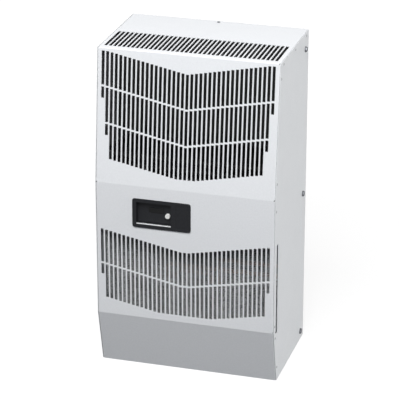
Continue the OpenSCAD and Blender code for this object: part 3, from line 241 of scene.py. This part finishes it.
# Each slot's real material, its sRGB colours and its texture in millimetres
finishes = {
    # Fine-texture polyester powder coat on sheet steel: even, slightly pebbled, low sheen, soft bright edges.
    # The grain is drawn at twice its real size so that it shows.
    "cover_paint": (grainedFinish, "powderCoatedSteel", {
        "colour": "#dddfe2", "second": "#d8dadd", "patchMm": 3.0, "roughness": 0.46, "specular": 0.35,
        "grainMm": 1.6, "depthMm": 0.05, "edgeMm": 0.5}),
    # The same coat on the sides, with painted shade in a darker grey on their inner faces
    "side_paint": (grainedFinish, "powderCoatedSteelSidesPaintedShadeInside", {
        "colour": "#dbdddf", "second": "#d6d8da", "patchMm": 3.0, "roughness": 0.48, "specular": 0.35,
        "grainMm": 1.6, "depthMm": 0.05, "edgeMm": 0.5, "inside": "#828486"}),
    # Hot-dip galvanised sheet: flat grey crystals, each with its own gloss
    "galvanised": (spangledFinish, "galvanisedSteel", {
        "colour": "#8f9497", "second": "#abafb2", "patchMm": 7.0, "roughness": 0.46, "metallic": 1.0,
        "grainMm": 5.0, "depthMm": 0.02, "edgeMm": 0.3}),
    # The same sheet with finer, brighter crystals
    "box_steel": (spangledFinish, "galvanisedSteelBox", {
        "colour": "#a9adb0", "second": "#c6c9cb", "patchMm": 5.0, "roughness": 0.34, "metallic": 1.0,
        "grainMm": 4.0, "depthMm": 0.02, "edgeMm": 0.3}),
    # Black electrocoat on steel, also painted shade for the unlit inside behind the grille: thin, dull and
    # even
    "divider_coat": (grainedFinish, "electrocoatedSteelPaintedShade", {
        "colour": "#17181a", "second": "#1d1e20", "patchMm": 20.0, "roughness": 0.6, "specular": 0.25,
        "grainMm": 2.0, "depthMm": 0.02, "edgeMm": 0.3}),
    # Open polyurethane foam: pores that swallow light
    "foam": (foamFinish, "polyurethaneFoam", {
        "colour": "#0e0e0f", "second": "#171718", "patchMm": 6.0, "roughness": 0.95,
        "grainMm": 1.8, "depthMm": 0.8}),
    # Closed-cell sponge rubber with a thin skin
    "gasket_rubber": (foamFinish, "spongeRubber", {
        "colour": "#161617", "second": "#202021", "patchMm": 4.0, "roughness": 0.8,
        "grainMm": 1.0, "depthMm": 0.2}),
    # Bright zinc plating: bluish, a little cloudy
    "zinc": (grainedFinish, "zincPlatedSteel", {
        "colour": "#b4babf", "second": "#c9cbc4", "patchMm": 5.0, "roughness": 0.3, "metallic": 1.0,
        "grainMm": 0.8, "depthMm": 0.01, "edgeMm": 0.2}),
    # Black zinc on hardened steel: dark with a metal glint on the edges
    "dark_screw": (grainedFinish, "blackZincSteel", {
        "colour": "#6c6e72", "second": "#5a5c60", "patchMm": 2.0, "roughness": 0.42, "metallic": 0.8,
        "grainMm": 0.6, "depthMm": 0.01, "edgeMm": 0.25}),
    # Tumbled aluminium rivet: satin grey
    "rivet_metal": (grainedFinish, "rivetAluminium", {
        "colour": "#a6a8aa", "second": "#969899", "patchMm": 1.5, "roughness": 0.42, "metallic": 1.0,
        "grainMm": 0.5, "depthMm": 0.01, "edgeMm": 0.2}),
    # Extruded aluminium: fine lines along its length
    "rail_aluminium": (drawnFinish, "extrudedAluminium", {
        "colour": "#a2a5a8", "second": "#b6b9bb", "patchMm": 1.2, "roughness": 0.38, "metallic": 1.0,
        "grainMm": 0.7, "depthMm": 0.01, "edgeMm": 0.2, "axis": 0}),
    # Aluminium channel dulled by oxide and dust: fine upright lines, little shine
    "filter_metal": (drawnFinish, "dulledAluminiumFrame", {
        "colour": "#85888b", "second": "#919497", "patchMm": 1.2, "roughness": 0.55, "metallic": 0.15,
        "grainMm": 0.7, "depthMm": 0.01, "edgeMm": 0.3, "axis": 2}),
    # Slit and stretched aluminium foil: bright strands with patches of painted shade in a near-black grey
    "mesh_metal": (grainedFinish, "expandedAluminiumPaintedShade", {
        "colour": "#c6c8ca", "second": "#4a4d4f", "patchMm": 2.4, "roughness": 0.36, "metallic": 0.85,
        "grainMm": 1.5, "depthMm": 0.05}),
    # Charcoal ABS with spark-eroded grain: soft sheen on its rounded edges
    "bezel_plastic": (grainedFinish, "charcoalMouldedPlastic", {
        "colour": "#1b1c1f", "second": "#1f2023", "patchMm": 5.0, "roughness": 0.55, "specular": 0.15,
        "grainMm": 0.8, "depthMm": 0.03, "edgeMm": 0.8}),
    # Smoked polycarbonate window: nearly black and glossy
    "display_plastic": (grainedFinish, "smokedPolycarbonate", {
        "colour": "#050608", "second": "#07080a", "patchMm": 10.0, "roughness": 0.2, "specular": 0.18,
        "grainMm": 6.0, "depthMm": 0.005, "edgeMm": 0.2}),
    # Glossy white ABS
    "knob_plastic": (grainedFinish, "whiteMouldedPlastic", {
        "colour": "#e3e3e1", "second": "#dededc", "patchMm": 4.0, "roughness": 0.32,
        "grainMm": 0.6, "depthMm": 0.005, "edgeMm": 0.4}),
    # Satin chrome on a drawn strip
    "bar_chrome": (drawnFinish, "satinChrome", {
        "colour": "#e6e8ea", "second": "#dfe1e3", "patchMm": 1.0, "roughness": 0.34, "metallic": 1.0,
        "grainMm": 0.5, "depthMm": 0.002, "edgeMm": 0.4, "axis": 0}),
    # Black nylon and ABS housings: even, half matt
    "black_plastic": (grainedFinish, "blackNylon", {
        "colour": "#1a1b1c", "second": "#202122", "patchMm": 6.0, "roughness": 0.52,
        "grainMm": 0.8, "depthMm": 0.02, "edgeMm": 0.3}),
    # Glass-filled nylon of rotors: a shade lighter and smoother
    "rotor_plastic": (grainedFinish, "glassFilledNylon", {
        "colour": "#232426", "second": "#2a2b2d", "patchMm": 8.0, "roughness": 0.45,
        "grainMm": 0.7, "depthMm": 0.02, "edgeMm": 0.3}),
    # Rolled aluminium fin stock: upright marks, fairly bright
    "fin_aluminium": (drawnFinish, "aluminiumFinStock", {
        "colour": "#a9acaf", "second": "#bdbfc1", "patchMm": 2.0, "roughness": 0.35, "metallic": 1.0,
        "grainMm": 1.5, "depthMm": 0.03, "axis": 2}),
    # Black baked coating over the fins and tubes of the outer coil, also painted shade behind the grille:
    # dull, thin, a little dusty
    "coil_coat": (grainedFinish, "coatedCoilPaintedShade", {
        "colour": "#0d0d0e", "second": "#141415", "patchMm": 9.0, "roughness": 0.6, "specular": 0.2,
        "grainMm": 1.0, "depthMm": 0.02}),
    # Drawn copper tube after some service: warm brown, with duller tarnished patches
    "copper": (grainedFinish, "tarnishedCopper", {
        "colour": "#a8765a", "second": "#7c5039", "patchMm": 14.0, "roughness": 0.4, "metallic": 1.0,
        "grainMm": 2.0, "depthMm": 0.02}),
    # Gloss black enamel on a pressed shell
    "compressor_paint": (grainedFinish, "blackEnamel", {
        "colour": "#121213", "second": "#171718", "patchMm": 25.0, "roughness": 0.24,
        "grainMm": 3.0, "depthMm": 0.04, "edgeMm": 0.6}),
    # Moulded rubber: matt, faintly dusty
    "rubber": (grainedFinish, "mouldedRubber", {
        "colour": "#161616", "second": "#1f1f1f", "patchMm": 5.0, "roughness": 0.75,
        "grainMm": 0.8, "depthMm": 0.03, "edgeMm": 0.3}),
    # Vacuum-formed polystyrene tray: off-white, soft gloss
    "pan_plastic": (grainedFinish, "formedPolystyrene", {
        "colour": "#d6d6d2", "second": "#cfcfca", "patchMm": 12.0, "roughness": 0.4,
        "grainMm": 1.5, "depthMm": 0.03, "edgeMm": 0.6}),
    # Deep-drawn aluminium can: lines along its height
    "can_aluminium": (drawnFinish, "drawnAluminiumCan", {
        "colour": "#c3c5c7", "second": "#d2d4d5", "patchMm": 1.5, "roughness": 0.28, "metallic": 1.0,
        "grainMm": 0.8, "depthMm": 0.01, "edgeMm": 0.5, "axis": 2}),
    # Urea moulding of the terminals: cream, soft gloss
    "terminal_plastic": (grainedFinish, "mouldedUrea", {
        "colour": "#e2e1d6", "second": "#dbdacd", "patchMm": 5.0, "roughness": 0.4,
        "grainMm": 0.6, "depthMm": 0.01, "edgeMm": 0.3}),
    # Braided sleeve over the wires: small raised lozenges
    "wire_insulation": (foamFinish, "braidedSleeve", {
        "colour": "#131314", "second": "#1c1c1e", "patchMm": 3.0, "roughness": 0.6,
        "grainMm": 1.4, "depthMm": 0.3}),
}
materials = {slot: build(name, settings) for slot, (build, name, settings) in finishes.items()}
slotOf = {part["node"]: part["material_slot"] for part in frame["record"]["subparts"]}
for name, thing in nodes.items():
    for holder in thing.material_slots:
        holder.material = materials[slotOf[name]]
print("materials made:", len(materials))


# Edges that fold by more than smoothAngle degrees stay sharp
def finishPiece(bm, name, slot, body, replaced, smoothAngle=35):
    mesh = bpy.data.meshes.new(name)
    for face in bm.faces:
        face.smooth = True
    bm.to_mesh(mesh)
    bm.free()
    if not mesh.polygons:
        raise ValueError(name + " came out empty")
    mesh.set_sharp_from_angle(angle=math.radians(smoothAngle))
    piece = addObject(name, mesh)
    mesh.materials.append(materials[slot])
    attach(piece, body)
    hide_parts(*replaced)
    return piece


# Turns an outline of (radius, height) points round Z into a closed solid
def turned(outline, steps):
    bm = bmesh.new()
    points = [bm.verts.new((r * mm, 0, z * mm)) for r, z in outline]
    edges = [bm.edges.new(pair) for pair in zip(points, points[1:])]
    bmesh.ops.spin(bm, geom=points + edges, cent=(0, 0, 0), axis=(0, 0, 1), angle=math.tau, steps=steps,
                   use_merge=True)
    bmesh.ops.remove_doubles(bm, verts=bm.verts[:], dist=joinNear)
    bmesh.ops.recalc_face_normals(bm, faces=bm.faces[:])
    return bm


def roundEdges(bm, edges, radius, segments):
    bmesh.ops.bevel(bm, geom=edges, offset=radius * mm, offset_type="OFFSET", segments=segments, profile=0.5,
                    affect="EDGES", material=-1)


# Adds copies of one small solid at many places to a mesh
def scatter(single, places, bm):
    mesh = bpy.data.meshes.new("pattern")
    single.to_mesh(mesh)
    single.free()
    for place in places:
        first = len(bm.verts)
        bm.from_mesh(mesh)
        bm.verts.ensure_lookup_table()
        bmesh.ops.transform(bm, matrix=place, verts=bm.verts[first:])
    bpy.data.meshes.remove(mesh)
    return bm


# Places a solid on a side panel with its head outward
def sidePlace(side, y, z, x):
    return Matrix.Translation(Vector((side * x, y, z)) * mm) @ Matrix.Rotation(side * math.pi / 2, 4, "Y")


# Blind rivets along the folded edges: domed heads with the broken stem sunk in the middle
rivet = {
    "set": 9.0,  # behind the outer face of the cover
    "head": 3.0,
    "rise": 1.0,
    "shank": 1.6,
    "stem": 0.7,
    "stemFace": 0.45,  # height of the stem above the panel
    "stemGap": 0.1,
    "dome": ((0.6, 0.85), (0.9, 0.5), (1.0, 0.0)),  # shares of the head's radius and rise
    "upset": ((0.9, 0.0), (0.8, 0.8), (0.0, 1.0)),  # the same for the swollen end inside
    "sides": 20,
    "top": (23.5, 121.0, 217.0),  # along each panel from its lower or front edge
    "upper": (33.5, 254.5),
    "lower": (12.0, 273.0),
    "skirt": (30.0, 107.7),
}


def rivetPlaces():
    c = cabinet
    lean = math.atan2(c["setY"] - c["frontY"], c["height"] - c["creaseHigh"])
    toe = math.atan2(c["setY"] - c["frontY"], c["creaseLow"])
    panels = [
        (rivet["top"], c["setY"], c["height"], 0.0),
        (rivet["upper"], c["frontY"], c["creaseHigh"], math.pi / 2 - lean),
        (rivet["lower"], c["frontY"], c["creaseLow"], math.pi / 2),
        (rivet["skirt"], c["setY"], 0.0, math.pi / 2 + toe),
    ]
    for side in (-1, 1):
        for along, y0, z0, turn in panels:
            for step in along:
                y = y0 + step * math.cos(turn) + rivet["set"] * math.sin(turn)
                z = z0 + step * math.sin(turn) - rivet["set"] * math.cos(turn)
                yield sidePlace(side, y, z, c["insideX"])


def rivetOutline():
    r, sheet = rivet, cabinet["sheet"]
    sunk = sheet + r["stemFace"]
    points = [(0, sunk), (r["stem"], sunk), (r["stem"] + r["stemGap"], sheet + r["rise"])]
    points += [(across * r["head"], sheet + up * r["rise"]) for across, up in r["dome"]]
    points += [(r["shank"], sheet), (r["shank"], -sheet)]
    return points + [(across * r["head"], -sheet - down * r["rise"]) for across, down in r["upset"]]


finishPiece(scatter(turned(rivetOutline(), rivet["sides"]), rivetPlaces(), bmesh.new()),
            "blindRivets", "rivet_metal", "cabinet", ["panel_rivets"])
print("rivets made")

# Hexagon flange screws at the back edges, and one small pan screw in the top
screw = {
    "set": 27.5,  # from the rear edge
    "heights": (20.0, 348.5, 675.0),
    "flange": 6.5,
    "flangeEdge": ((-0.4, 1.2), (0.0, 0.7), (0.0, 0.0)),  # from the flange's radius, and heights
    "core": (0.6, 0.5, 1.5),  # under the hexagon: share of its radius, floor and rim
    "hex": 5.6,
    "hexFoot": 0.8,
    "hexRound": 0.5,
    "roundSteps": 2,
    "head": 4.0,
    "dishRim": 1.6,
    "dishDeep": 0.6,
    "shank": 3.0,
    "length": 11.0,
    "thread": 1.0,  # distance from ridge to ridge
    "ridge": 0.1,  # shares of that distance
    "groove": 0.5,
    "grooveDeep": 0.35,
    "tip": 0.5,  # share of the shank's radius
    "sides": 24,
    "smoothAngle": 30,
}
panScrew = {
    "set": 9.5,  # from the rear edge
    "head": 3.6,
    "rise": 1.6,
    "shank": 2.0,
    "socket": (1.0, 1.3, 0.7),  # radius at its floor and at its rim, and height of the floor
    "dome": (0.7, 0.9),  # shares of the head's radius and rise
    "edge": 0.4,
    "sides": 20,
}


def threadOutline(radius):
    s = screw
    points = []
    for k in range(int(s["length"] / s["thread"])):
        z = -k * s["thread"]
        points += [(radius, z - s["ridge"] * s["thread"]),
                   (radius - s["grooveDeep"], z - s["groove"] * s["thread"])]
    return points + [(s["tip"] * radius, -s["length"]), (0, -s["length"])]


def flangeScrew():
    s = screw
    share, floor, rim = s["core"]
    outline = [(0, floor), (share * s["hex"], floor), (share * s["hex"], rim)]
    outline += [(s["flange"] + out, z) for out, z in s["flangeEdge"]]
    bm = turned(outline + threadOutline(s["shank"]), s["sides"])
    middle = Matrix.Translation((0, 0, (s["head"] + s["hexFoot"]) / 2 * mm))
    hexagon = bmesh.ops.create_cone(bm, cap_ends=True, segments=6, radius1=s["hex"] * mm,
                                    radius2=s["hex"] * mm, depth=(s["head"] - s["hexFoot"]) * mm,
                                    matrix=middle)["verts"]
    faces = [f for v in hexagon for f in v.link_faces]
    top = max(faces, key=lambda f: f.calc_center_median().z)
    sunk = bmesh.ops.inset_individual(bm, faces=[top], thickness=s["dishRim"] * mm)
    bmesh.ops.translate(bm, verts=top.verts[:], vec=(0, 0, -s["dishDeep"] * mm))
    edges = {e for f in sunk["faces"] for e in f.edges}
    roundEdges(bm, [e for e in edges if all(v in hexagon for v in e.verts)], s["hexRound"], s["roundSteps"])
    return bm


def panScrewTurned():
    p = panScrew
    inner, outer, floor = p["socket"]
    across, up = p["dome"]
    outline = [(0, floor), (inner, floor), (outer, p["rise"]), (across * p["head"], up * p["rise"]),
               (p["head"], p["edge"]), (p["head"], 0)]
    return turned(outline + threadOutline(p["shank"]), p["sides"])


def makeScrews():
    c = cabinet
    places = [sidePlace(side, c["backY"] - screw["set"], z, c["insideX"] + c["sheet"])
              for side in (-1, 1) for z in screw["heights"]]
    bm = scatter(flangeScrew(), places, bmesh.new())
    panPlace = Matrix.Translation(Vector((0, c["backY"] - panScrew["set"], c["height"])) * mm)
    scatter(panScrewTurned(), [panPlace], bm)
    finishPiece(bm, "flangeScrews", "dark_screw", "cabinet", ["cover_screws"], screw["smoothAngle"])


makeScrews()
print("screws made")

# Filter mesh: two crossed, crimped layers of expanded aluminium in the frame
filterMesh = {
    "diamondWide": 8.0,
    "diamondHigh": 5.0,
    "strand": 1.45,
    "crimp": 0.7,  # half height of the waves
    "wave": 13.0,
    "layerStep": 1.9,  # half the distance between the layers
    "stray": 0.5,  # how far the strands wander
    "strayLess": 0.6,  # share of it in depth and height
    "strayScale": 700,  # of its noise, in each metre
    "straySeed": 1,  # without a seed the noise would lie elsewhere in each run
    "strayPlace": (31, 7, 3),  # where in the noise the rear layer lies; the front one has x negated
    "spareRows": 4,  # beyond the edges, before the cut
    "cutNear": 0.01,  # points this close to a cut lie on it
    "smoothAngle": 60,
}


def meshLayer(name, along, sign):
    m = filterMesh
    low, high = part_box("filter_mesh")
    centre, half = (low + high) / 2, (high - low) / 2

    def keepInside(vertex):
        vertex.co.x = max(-half.x, min(half.x, vertex.co.x))
        vertex.co.z = max(-half.z, min(half.z, vertex.co.z))

    # squares turned on their corner and stretched into diamonds
    wide, tall = m["diamondWide"] * mm, m["diamondHigh"] * mm
    count = int(2 * half.x / wide + 2 * half.z / tall) + m["spareRows"]
    bm = bmesh.new()
    bmesh.ops.create_grid(bm, x_segments=count, y_segments=count, size=count * math.sqrt(0.5) / 2)
    turn = Matrix.Rotation(math.pi / 4, 4, "Z")
    upright = Matrix.Rotation(math.pi / 2, 4, "X")
    shape = Matrix.Diagonal((wide, 1, tall, 1))
    shift = Matrix.Translation((sign * wide / 4, 0, sign * tall / 4))
    bmesh.ops.transform(bm, verts=bm.verts[:], matrix=shift @ shape @ upright @ turn)
    for axis, reach in ((0, half.x), (2, half.z)):
        for way in (-1, 1):
            normal = Vector((0, 0, 0))
            normal[axis] = way
            bmesh.ops.bisect_plane(bm, geom=bm.verts[:] + bm.edges[:] + bm.faces[:], dist=m["cutNear"] * mm,
                                   plane_co=normal * reach, plane_no=normal, clear_outer=True)

    # waves along one axis, and a little wandering
    noiseX, noiseY, noiseZ = m["strayPlace"]
    for v in bm.verts:
        place = v.co.copy()
        ripple = math.sin(math.tau * place[along] / (m["wave"] * mm)) * m["crimp"] * mm
        noisePlace = place * m["strayScale"] + Vector((sign * noiseX, noiseY, noiseZ))
        stray = noise.noise_vector(noisePlace) * m["stray"] * mm
        v.co = place + Vector((stray.x, sign * m["layerStep"] * mm + ripple + m["strayLess"] * stray.y,
                               m["strayLess"] * stray.z))
        keepInside(v)
    bmesh.ops.remove_doubles(bm, verts=bm.verts[:], dist=0.5 * m["strand"] * mm)  # slivers at the cut edges
    bmesh.ops.wireframe(bm, faces=bm.faces[:], thickness=m["strand"] * mm, offset=0, use_replace=True,
                        use_boundary=True, use_even_offset=False)
    for v in bm.verts:  # strands end in the frame's groove
        keepInside(v)
    bmesh.ops.translate(bm, verts=bm.verts[:], vec=centre)
    return finishPiece(bm, name, "mesh_metal", "filter", ["filter_mesh"], m["smoothAngle"])


noise.seed_set(filterMesh["straySeed"])
layers = [meshLayer("filterMeshFront", 0, -1), meshLayer("filterMeshRear", 2, 1)]
print("filter mesh made:", [len(layer.data.polygons) for layer in layers], "faces")

# Foam liner behind the upper grille: a cut slab whose edges are pressed soft
liner = {"round": 1.2, "roundSteps": 3}


def foamLiner():
    low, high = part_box("plenum_liner")
    bm = bmesh.new()
    bmesh.ops.create_cube(bm, size=1, matrix=Matrix.Translation((low + high) / 2)
                          @ Matrix.Diagonal((*(high - low), 1)))
    roundEdges(bm, bm.edges[:], liner["round"], liner["roundSteps"])
    piece = finishPiece(bm, "foamLiner", "foam", "cabinet", ["plenum_liner"])


foamLiner()

# Mounting gasket: one strip of sponge round the back, with a rounded face
gasket = {
    "strip": 14.0,
    "round": 1.0,
    "roundSteps": 3,
    "fold": 0.5,  # edges that fold by more than this are rounded, in radians
}


def gasketRing():
    low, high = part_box("mounting_gasket")
    bm = bmesh.new()
    corner = [(low.x, low.z), (high.x, low.z), (high.x, high.z), (low.x, high.z)]
    face = bm.faces.new([bm.verts.new((x, low.y, z)) for x, z in corner])
    face.normal_update()  # the inset works from it
    bmesh.ops.inset_region(bm, faces=[face], thickness=gasket["strip"] * mm, use_boundary=True,
                           use_even_offset=True)
    bmesh.ops.delete(bm, geom=[face], context="FACES_ONLY")
    ring = bmesh.ops.extrude_face_region(bm, geom=bm.faces[:])
    outer = [v for v in ring["geom"] if isinstance(v, bmesh.types.BMVert)]
    bmesh.ops.translate(bm, verts=outer, vec=(0, high.y - low.y, 0))
    bmesh.ops.recalc_face_normals(bm, faces=bm.faces[:])
    edges = [e for e in bm.edges if all(abs(v.co.y - high.y) < joinNear for v in e.verts)
             and e.calc_face_angle(0) > gasket["fold"]]
    roundEdges(bm, edges, gasket["round"], gasket["roundSteps"])
    piece = finishPiece(bm, "spongeGasket", "gasket_rubber", "cabinet", ["mounting_gasket"])


gasketRing()
print("foam and gasket made")

# Capillary tube: straight down, round five loops and on to the evaporator feed
capillary = {
    "x": 174.0,
    "y": -12.75,
    "top": 335.0,
    "drop": 12.0,
    "bend": 4.0,
    "loop": 12.0,
    "loops": 5,
    "pitch": 5.0,
    "radius": 1.2,
    "sides": 12,
    "loopSteps": 32,  # rings in one loop
    "bendSteps": 6,
    "smoothAngle": 60,
}


def capillaryTube():
    c = capillary
    bm = bmesh.new()
    end = bmesh.ops.create_circle(bm, segments=c["sides"], radius=c["radius"] * mm, cap_ends=True,
                                  matrix=Matrix.Translation(Vector((c["x"], c["y"], c["top"])) * mm))
    start = end["verts"][0].link_faces[0]

    def straight(face):
        grown = bmesh.ops.extrude_discrete_faces(bm, faces=[face])["faces"][0]
        bmesh.ops.translate(bm, verts=grown.verts[:], vec=(0, 0, -c["drop"] * mm))
        return grown

    def curved(face, centre, axis, angle, steps, rise=0.0):
        bm.faces.ensure_lookup_table()
        geom = [face] + face.edges[:] + face.verts[:]
        last = bmesh.ops.spin(bm, geom=geom, cent=Vector(centre) * mm, axis=axis, angle=angle, steps=steps,
                              dvec=(0, 0, rise * mm / steps))["geom_last"]
        return [f for f in last if isinstance(f, bmesh.types.BMFace)][0]

    face = straight(start)
    level = c["top"] - c["drop"]
    face = curved(face, (c["x"], c["y"] + c["bend"], level), (1, 0, 0), math.pi / 2, c["bendSteps"])
    level -= c["bend"]
    face = curved(face, (c["x"] - c["loop"], c["y"] + c["bend"], level), (0, 0, 1), math.tau * c["loops"],
                  c["loopSteps"] * c["loops"], -c["pitch"] * c["loops"])
    level -= c["pitch"] * c["loops"]
    face = curved(face, (c["x"], c["y"] + c["bend"], level - c["bend"]), (1, 0, 0), -math.pi / 2,
                  c["bendSteps"])
    straight(face)
    bmesh.ops.remove_doubles(bm, verts=bm.verts[:], dist=joinNear)
    discs = [f for f in bm.faces if all(len(e.link_faces) > 2 for e in f.edges)]  # left where a bend starts
    bmesh.ops.delete(bm, geom=discs, context="FACES_ONLY")
    bmesh.ops.holes_fill(bm, edges=[e for e in bm.edges if e.is_boundary])
    bmesh.ops.recalc_face_normals(bm, faces=bm.faces[:])
    finishPiece(bm, "capillaryLoops", "copper", "cabinet", ["capillary_tube"], c["smoothAngle"])


capillaryTube()
print("capillary made")

# White studio, in metres
studio = {
    "white": "#ffffff",
    "ambient": 0.03,
    "floorSize": 14.0,
    "floorSeen": "#6c6c6c",  # what the camera sees under the glow
    "floorDull": "#4b4e53",  # what throws light back on the cabinet
    "floorGlow": 0.88,
    "glowNear": 0.9,  # distance from the middle where the floor starts to brighten to plain white
    "glowFar": 2.6,
    "aim": 0.36,  # height that the lights look at
}

# Azimuth from the front and elevation in degrees, distance and size in metres, power in watts
lights = {
    "keyLight": (2, 54, 4.0, 2.0, 234.0),
    "rightLight": (90, 2, 3.2, 1.4, 74.0),
    "leftLight": (-95, 0, 3.2, 1.2, 56.0),
    "backLight": (180, 0, 3.2, 1.4, 14.0),
}

view = {
    "azimuth": 16.35,
    "elevation": 22.442,
    "place": (1.1782, -4.0323, 2.0878),
    "focalPixels": 2131.3,  # in a frame as wide as framePixels
    "framePixels": 400,
    "farthest": 100,
}


# 1 for what the camera sees, straight or in a reflection or refraction, 0 for the light thrown on pieces
def seenDirectly(tree):
    ray = addNode(tree, "ShaderNodeLightPath")
    first = addNode(tree, "ShaderNodeMath", {"operation": "MAXIMUM"},
                    {0: ray.outputs["Is Camera Ray"], 1: ray.outputs["Is Glossy Ray"]})
    return addNode(tree, "ShaderNodeMath", {"operation": "MAXIMUM"},
                   {0: first.outputs[0], 1: ray.outputs["Is Transmission Ray"]}).outputs[0]


def makeWorld():
    world = bpy.data.worlds.new("whiteStudio")
    bpy.context.scene.world = world
    tree = emptyTree(world)
    soft, white = [
        addNode(tree, "ShaderNodeBackground", {"Color": linear(studio["white"]), "Strength": strength})
        for strength in (studio["ambient"], 1.0)]
    mix = addNode(tree, "ShaderNodeMixShader",
                  links={0: seenDirectly(tree), 1: soft.outputs[0], 2: white.outputs[0]})
    addNode(tree, "ShaderNodeOutputWorld", links={"Surface": mix.outputs[0]})


# Floor that is seen white with the shadow left in it, and throws little light back
def makeFloor():
    bm = bmesh.new()
    bmesh.ops.create_grid(bm, x_segments=1, y_segments=1, size=studio["floorSize"] / 2)
    mesh = bpy.data.meshes.new("floor")
    bm.to_mesh(mesh)
    bm.free()
    floor = addObject("floor", mesh)
    material = bpy.data.materials.new("paleStudioFloor")
    tree = emptyTree(material)
    place = addNode(tree, "ShaderNodeTexCoord").outputs["Object"]
    reach = addNode(tree, "ShaderNodeVectorMath", {"operation": "LENGTH"}, {0: place}).outputs["Value"]
    rise = addNode(tree, "ShaderNodeMapRange", {
        "From Min": studio["glowNear"], "From Max": studio["glowFar"],
        "To Min": studio["floorGlow"], "To Max": 1.0}, {"Value": reach})
    glow = addNode(tree, "ShaderNodeEmission", {"Color": linear(studio["white"])},
                   {"Strength": rise.outputs[0]})
    pale = addNode(tree, "ShaderNodeBsdfDiffuse", {"Color": linear(studio["floorSeen"])})
    seen = addNode(tree, "ShaderNodeAddShader", links={0: glow.outputs[0], 1: pale.outputs[0]})
    dull = addNode(tree, "ShaderNodeBsdfDiffuse", {"Color": linear(studio["floorDull"])})
    mix = addNode(tree, "ShaderNodeMixShader",
                  links={0: seenDirectly(tree), 1: dull.outputs[0], 2: seen.outputs[0]})
    addNode(tree, "ShaderNodeOutputMaterial", links={"Surface": mix.outputs[0]})
    mesh.materials.append(material)


# A square soft light that looks at the middle of the cabinet
def softLight(name, azimuth, elevation, distance, size, power):
    lamp = bpy.data.lights.new(name, "AREA")
    lamp.shape = "SQUARE"
    lamp.size = size
    lamp.energy = power
    thing = addObject(name, lamp)
    a, e = math.radians(azimuth), math.radians(elevation)
    back = Vector((math.sin(a) * math.cos(e), -math.cos(a) * math.cos(e), math.sin(e)))
    thing.location = Vector((0, 0, studio["aim"])) + back * distance
    thing.rotation_mode = "QUATERNION"
    thing.rotation_quaternion = back.to_track_quat("Z", "Y")


def makeCamera():
    data = bpy.data.cameras.new("camera")
    camera = addObject("camera", data)
    camera.location = view["place"]
    camera.rotation_euler = (math.radians(90 - view["elevation"]), 0, math.radians(view["azimuth"]))
    data.lens = view["focalPixels"] / view["framePixels"] * data.sensor_width
    data.clip_end = view["farthest"]
    bpy.context.scene.camera = camera


makeWorld()
makeFloor()
for name, settings in lights.items():
    softLight(name, *settings)
makeCamera()
bpy.context.scene.view_settings.view_transform = "Standard"
print("studio made")
